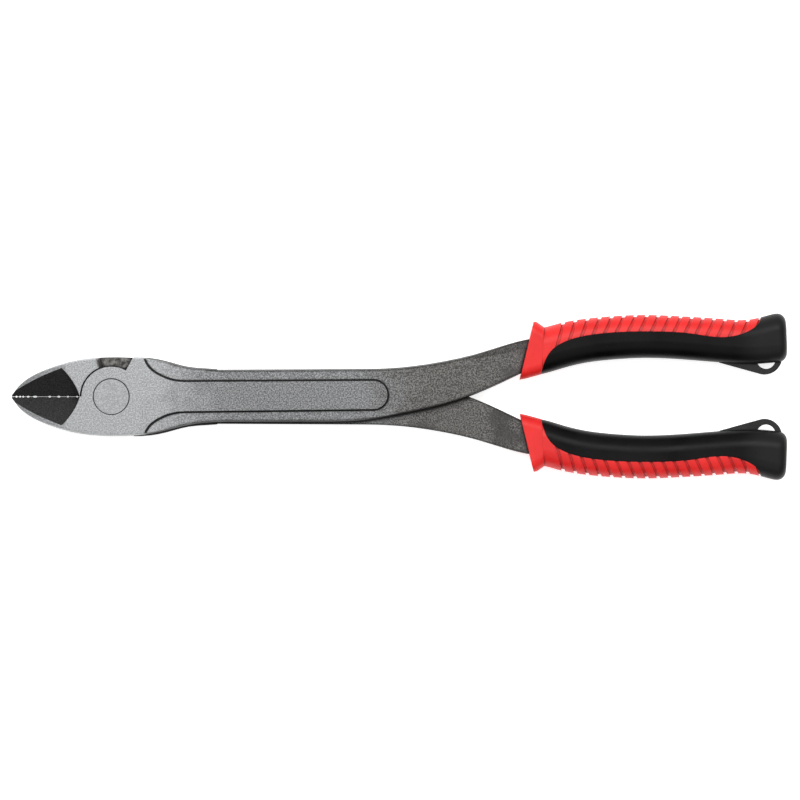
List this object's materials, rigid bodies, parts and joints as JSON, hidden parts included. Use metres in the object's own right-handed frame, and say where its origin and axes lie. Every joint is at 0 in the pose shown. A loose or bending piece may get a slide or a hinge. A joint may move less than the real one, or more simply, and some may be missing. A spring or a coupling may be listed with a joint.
{
  "type": "diagonal cutting pliers",
  "caption": "Long-reach diagonal cutting pliers with a riveted lap joint, slim shanks, ribbed two-colour grips and tether loops.",
  "frame": {"origin": "on the pivot axis, in the plane of the joint's rear face", "axes": "+X along the tool from the joint to the handles, +Y across the tool towards the front half's handle, +Z along the pivot axis out of the joint's front face"},
  "size_m": [0.2803, 0.0602, 0.0142],
  "materials": {
    "forged_steel": "satin, shot-blasted",
    "rivet_steel": "ground",
    "hard_core": "matte",
    "red_sleeve": "satin",
    "black_cover": "satin"
  },
  "bodies": {
    "rear": {"rear_half": "forged_steel", "pivot_rivet": "rivet_steel", "lower_grip_core": "hard_core", "lower_grip_sleeve": "red_sleeve", "lower_grip_cover": "black_cover"},
    "front": {"front_half": "forged_steel", "upper_grip_core": "hard_core", "upper_grip_sleeve": "red_sleeve", "upper_grip_cover": "black_cover"}
  },
  "joints": [
    {"name": "pivot", "type": "hinge", "parent": "rear", "child": "front", "pos_m": [0, 0, 0.006], "axis": [0, 0, 1], "range_deg": [0, 40]}
  ]
}
